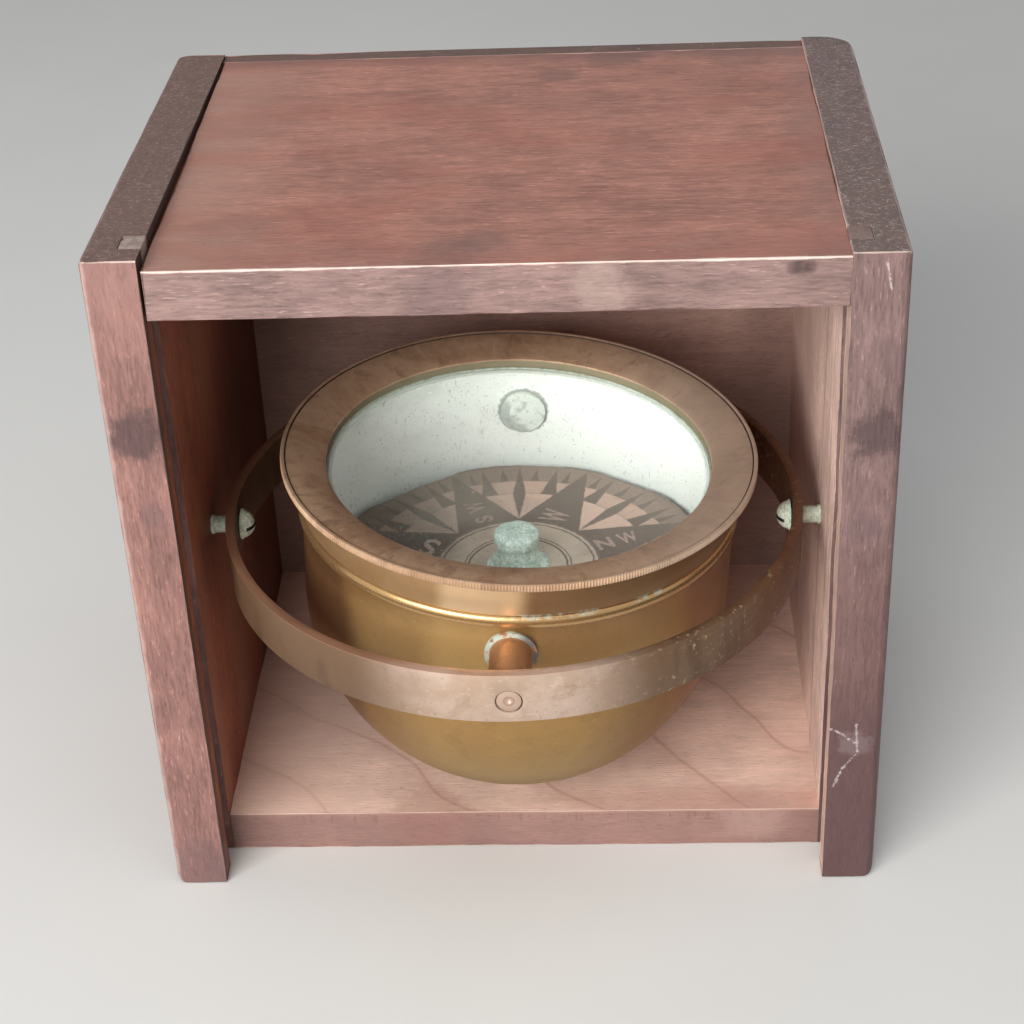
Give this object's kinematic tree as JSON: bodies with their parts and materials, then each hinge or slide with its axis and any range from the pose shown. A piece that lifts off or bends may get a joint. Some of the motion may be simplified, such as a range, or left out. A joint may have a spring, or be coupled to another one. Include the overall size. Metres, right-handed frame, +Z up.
{
  "type": "marine compass",
  "caption": "Small boat compass: a gimballed brass bowl with a pivoted card under glass, hung in an open wooden box.",
  "frame": {"origin": "under the middle of the whole object, on the surface that it stands on", "axes": "+Z up, -Y out of the box's open side, +X to the right seen from the open side"},
  "size_m": [0.178, 0.1636, 0.1764],
  "materials": {
    "side_wood": "worn stained hardwood, dry and satin",
    "top_wood": "reddish stained hardwood, rubbed",
    "bottom_wood": "pale bare hardwood",
    "back_wood": "grey-brown aged hardwood",
    "plug_wood": "pale filler and splinters of wood",
    "nail_steel": "darkened iron wire",
    "pivot_brass": "brass with a pale green film",
    "ring_brass": "brown tarnished brass",
    "bowl_brass": "golden brown brass, painted white inside",
    "cover_brass": "brown tarnished brass with bright milled edge",
    "trunnion_brass": "coppery turned brass",
    "inner_brass": "dull brass",
    "painted_brass": "brass painted white",
    "lead": "dull cast lead",
    "glass": "flat clear glass, lightly scratched",
    "putty": "greenish grey glazing putty",
    "card_paper": "printed paper card, faded",
    "cap_brass": "brass under pale blue-green verdigris",
    "jewel_stone": "polished red agate",
    "pin_steel": "ground steel",
    "magnet_steel": "blued steel"
  },
  "bodies": {
    "box": {"left_side": "side_wood", "right_side": "side_wood", "top_board": "top_wood", "bottom_board": "bottom_wood", "back_panel": "back_wood", "groove_plugs": "plug_wood", "joint_brads": "nail_steel", "back_pins": "nail_steel", "pivot_screw_left": "pivot_brass", "pivot_screw_right": "pivot_brass", "spacer_left": "pivot_brass", "spacer_right": "pivot_brass", "pivot_washers": "pivot_brass"},
    "ring": {"gimbal_ring": "ring_brass"},
    "bowl": {"bowl_shell": "bowl_brass", "cover_ring": "cover_brass", "glazing_putty": "putty", "glass": "glass", "trunnion_front": "trunnion_brass", "trunnion_rear": "trunnion_brass", "trunnion_nuts": "painted_brass", "ballast_weight": "lead", "pivot_post": "inner_brass", "post_screws": "inner_brass", "pivot_pin": "pin_steel"},
    "card": {"compass_card": "card_paper", "card_cap": "cap_brass", "cap_jewel": "jewel_stone", "cap_nut": "inner_brass", "magnet_bars": "magnet_steel", "magnet_straps": "inner_brass"}
  },
  "joints": [
    {"name": "ring_tilt", "type": "hinge", "parent": "box", "child": "ring", "pos_m": [0, -0.01021, 0.08472], "axis": [1, 0, 0], "continuous": true},
    {"name": "bowl_tilt", "type": "hinge", "parent": "ring", "child": "bowl", "pos_m": [0.00086, -0.01019, 0.08392], "axis": [0, 0.9996, 0.0279], "range_deg": [-48.2, 41.8]},
    {"name": "card_spin", "type": "hinge", "parent": "bowl", "child": "card", "pos_m": [0.00034, -0.00993, 0.07472], "axis": [0, 0, 1], "continuous": true}
  ]
}
